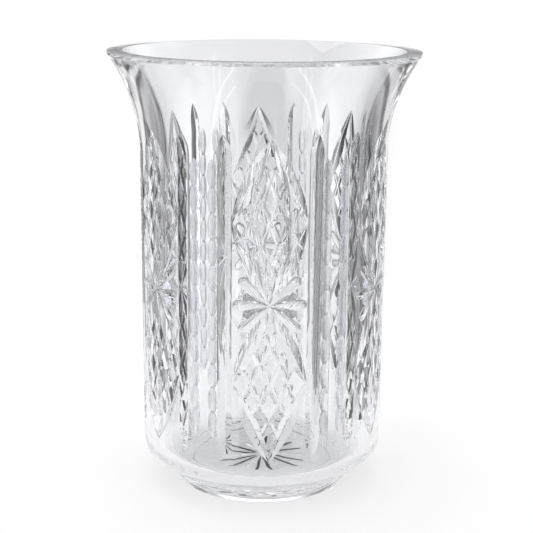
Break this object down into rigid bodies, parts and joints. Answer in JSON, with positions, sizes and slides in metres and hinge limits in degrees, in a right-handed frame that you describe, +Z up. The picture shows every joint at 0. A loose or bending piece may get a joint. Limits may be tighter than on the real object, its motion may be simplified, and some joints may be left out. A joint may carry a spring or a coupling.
{
  "type": "cut crystal vase",
  "caption": "Tall round vase of thick cut glass with a flared mouth, panels of diamonds and stars between long mitres, a bevelled heel and a low foot.",
  "frame": {"origin": "middle of the resting face, on the vase's axis", "axes": "+Z up along the vase's axis; the middle of a cut panel faces -Y"},
  "size_m": [0.178, 0.178, 0.254],
  "materials": {
    "crystal": "clear, colourless and polished, with polished wheel cuts"
  },
  "bodies": {
    "root": {"rim": "crystal", "body": "crystal", "heel": "crystal", "foot": "crystal"}
  },
  "joints": []
}
